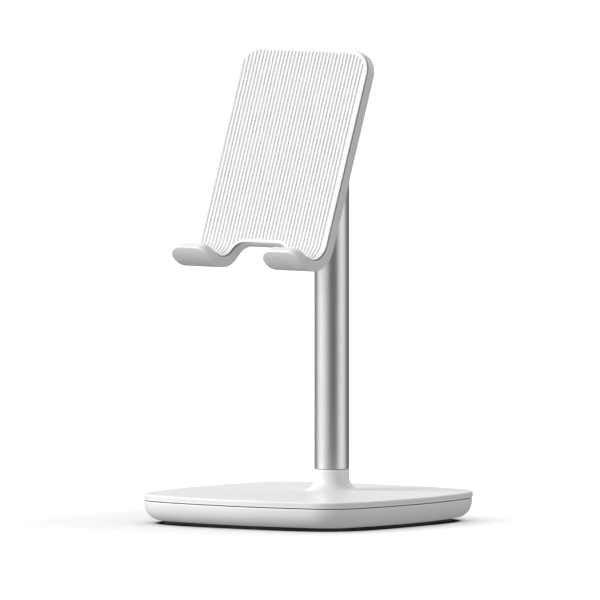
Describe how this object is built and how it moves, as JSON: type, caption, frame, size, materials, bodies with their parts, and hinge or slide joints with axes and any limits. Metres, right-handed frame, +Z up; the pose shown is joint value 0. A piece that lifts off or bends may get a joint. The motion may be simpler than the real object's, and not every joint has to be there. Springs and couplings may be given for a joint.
{
  "type": "phone stand",
  "caption": "Desktop phone stand with a weighted bowed-square base, a height-adjustable round pole and a tilting holder with hooks and a grooved pad.",
  "frame": {"origin": "on the floor under the middle of the base", "axes": "+Z up; the holder faces -Y, and the part is symmetric left to right about X=0 except for the hinge's bolt and nut"},
  "size_m": [0.113, 0.113, 0.191],
  "materials": {
    "white_plastic": "fine satin moulded ABS",
    "silicone": "matt white silicone with fine upright grooves",
    "pole_aluminium": "satin, drawn along its length",
    "post_steel": "bright drawn",
    "zinc_steel": "zinc plated",
    "weight_steel": "bare plate",
    "sole_rubber": "matt black anti-slip rubber",
    "ring_rubber": "greased black rubber",
    "foam": "black foam tape",
    "glide_plastic": "natural acetal"
  },
  "bodies": {
    "base": {"base_cover": "white_plastic", "base_tray": "white_plastic", "anti_slip_pad": "sole_rubber", "tray_screws": "zinc_steel", "counterweight": "weight_steel", "weight_pads": "foam", "post": "post_steel", "post_plug": "zinc_steel", "post_washer": "zinc_steel", "post_screw": "zinc_steel", "post_glide": "glide_plastic", "friction_ring": "ring_rubber"},
    "pole": {"outer_tube": "pole_aluminium", "lower_bush": "glide_plastic", "pole_head": "white_plastic", "head_pin": "zinc_steel"},
    "holder": {"holder_plate": "white_plastic", "holder_pad": "silicone", "hinge_bracket": "white_plastic", "bracket_screws": "zinc_steel", "pivot_bolt": "zinc_steel", "pivot_nut": "zinc_steel", "spring_washer": "zinc_steel", "friction_washers": "glide_plastic", "pivot_caps": "white_plastic"}
  },
  "joints": [
    {"name": "height_slide", "type": "slide", "parent": "base", "child": "pole", "axis": [0, 0, 1], "range_m": [0, 0.04]},
    {"name": "holder_tilt", "type": "hinge", "parent": "pole", "child": "holder", "pos_m": [0, 0.0163, 0.154], "axis": [-1, 0, 0], "range_deg": [-22.3, 67.7]}
  ]
}
